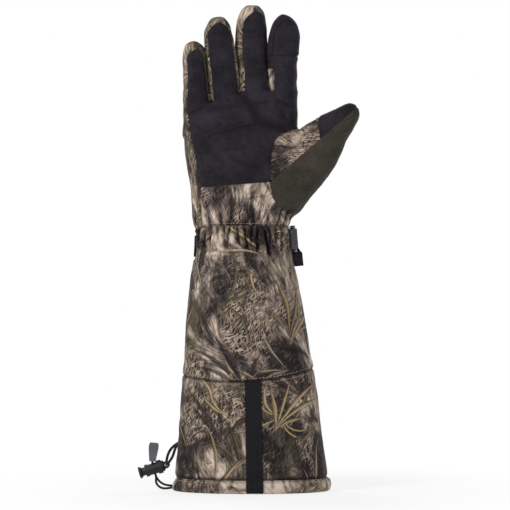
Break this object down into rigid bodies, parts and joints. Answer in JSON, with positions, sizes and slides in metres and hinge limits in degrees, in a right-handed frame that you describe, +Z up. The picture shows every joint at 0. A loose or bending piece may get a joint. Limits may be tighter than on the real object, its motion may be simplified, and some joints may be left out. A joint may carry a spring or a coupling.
{
  "type": "insulated gauntlet glove",
  "caption": "Right-hand insulated gauntlet glove in a reed print with black suede palm, fleece thumb wipe, gathered strapped wrist and cord-locked flared cuff.",
  "frame": {"origin": "on the floor plane under the middle of the glove's box, cord and cord lock left out", "axes": "+Z up from hem to fingertips, -Y the palm side, +X the thumb side"},
  "size_m": [0.2129, 0.0864, 0.4659],
  "materials": {
    "printed_shell": "matte",
    "black_suede": "matte",
    "olive_fleece": "matte",
    "lining": "matte",
    "webbing": "matte",
    "elastic": "matte",
    "cord": "matte",
    "black_plastic": "satin",
    "grey_plastic": "satin",
    "spring_steel": "satin"
  },
  "bodies": {
    "gauntlet": {"gauntlet_upper": "printed_shell", "gauntlet_lower": "printed_shell", "gauntlet_stripe": "webbing", "hem_channel": "printed_shell", "hem_cord": "cord", "gauntlet_lining_palm": "lining", "gauntlet_lining_back": "lining", "wrist_gather": "printed_shell", "wrist_elastic": "elastic", "wrist_lining": "lining", "wrist_strap": "webbing", "buckle_loop": "webbing"},
    "hand": {"wrist_panel": "printed_shell", "palm_panel": "black_suede", "back_panel": "printed_shell", "hand_lining_palm": "lining", "hand_lining_back": "lining", "finger_webs": "printed_shell", "thumb_panel": "printed_shell", "thumb_base_wipe": "olive_fleece", "index_knuckle_front": "black_suede", "index_knuckle_back": "printed_shell", "middle_knuckle_front": "black_suede", "middle_knuckle_back": "printed_shell", "ring_knuckle_front": "black_suede", "ring_knuckle_back": "printed_shell", "little_knuckle_front": "black_suede", "little_knuckle_back": "printed_shell"},
    "buckle": {"strap_buckle": "black_plastic", "strap_tail": "webbing"},
    "cord_lock": {"cord_lock_barrel": "black_plastic", "cord_end": "grey_plastic", "draw_cord": "cord", "cord_tether": "cord", "cord_lock_spring": "spring_steel"},
    "plunger": {"cord_lock_plunger": "black_plastic"},
    "index": {"index_front": "black_suede", "index_back": "printed_shell", "index_tip_cap": "black_suede", "index_tip_pad": "black_suede", "index_lining": "lining"},
    "middle": {"middle_front": "black_suede", "middle_back": "printed_shell", "middle_lining": "lining"},
    "ring": {"ring_front": "black_suede", "ring_back": "printed_shell", "ring_lining": "lining"},
    "little": {"little_front": "black_suede", "little_back": "printed_shell", "little_lining": "lining"},
    "thumb": {"thumb_tip_patch": "black_suede", "thumb_wipe_panel": "olive_fleece", "thumb_lining": "lining"}
  },
  "joints": [
    {"name": "wrist_bend", "type": "hinge", "parent": "gauntlet", "child": "hand", "pos_m": [-0.0226, 0.0006, 0.239], "axis": [1, 0, 0], "range_deg": [-20, 30], "stiffness_Nm_per_rad": 2, "deforming": ["wrist_gather", "wrist_elastic", "wrist_lining", "wrist_strap", "buckle_loop"]},
    {"name": "index_bend", "type": "hinge", "parent": "hand", "child": "index", "pos_m": [0.01709, -0.00007, 0.3955], "axis": [0.9999, 0, -0.0152], "range_deg": [-8, 75], "stiffness_Nm_per_rad": 0.12, "deforming": ["index_knuckle_front", "index_knuckle_back"]},
    {"name": "middle_bend", "type": "hinge", "parent": "hand", "child": "middle", "pos_m": [-0.01109, 0.00002, 0.3955], "axis": [0.9989, 0, 0.0472], "range_deg": [-8, 75], "stiffness_Nm_per_rad": 0.12, "deforming": ["middle_knuckle_front", "middle_knuckle_back"]},
    {"name": "ring_bend", "type": "hinge", "parent": "hand", "child": "ring", "pos_m": [-0.03941, -0.00003, 0.38938], "axis": [0.9961, 0, 0.0884], "range_deg": [-8, 75], "stiffness_Nm_per_rad": 0.12, "deforming": ["ring_knuckle_front", "ring_knuckle_back"]},
    {"name": "little_bend", "type": "hinge", "parent": "hand", "child": "little", "pos_m": [-0.06603, -0.00025, 0.38152], "axis": [0.9987, 0, 0.0503], "range_deg": [-8, 75], "stiffness_Nm_per_rad": 0.12, "deforming": ["little_knuckle_front", "little_knuckle_back"]},
    {"name": "thumb_swing", "type": "hinge", "parent": "hand", "child": "thumb", "pos_m": [0.04598, -0.01584, 0.32718], "axis": [0.6528, 0.0001, -0.7575], "range_deg": [-10, 35], "stiffness_Nm_per_rad": 0.3, "deforming": ["thumb_panel", "thumb_base_wipe"]},
    {"name": "buckle_tilt", "type": "hinge", "parent": "gauntlet", "child": "buckle", "pos_m": [0.0271, -0.00277, 0.24105], "axis": [0.0732, 0, -0.9973], "range_deg": [0, 35], "deforming": ["wrist_strap"]},
    {"name": "cord_lock_swing", "type": "hinge", "parent": "gauntlet", "child": "cord_lock", "pos_m": [-0.0896, 0.0006, 0.0032], "axis": [0.124, 0, 0.9923], "range_deg": [-40, 40], "stiffness_Nm_per_rad": 0.006},
    {"name": "plunger_press", "type": "slide", "parent": "cord_lock", "child": "plunger", "axis": [0.9563, 0, 0.2924], "range_m": [0, 0.0024], "stiffness_N_per_m": 60, "springref_m": -0.01, "deforming": ["cord_lock_spring"]}
  ]
}
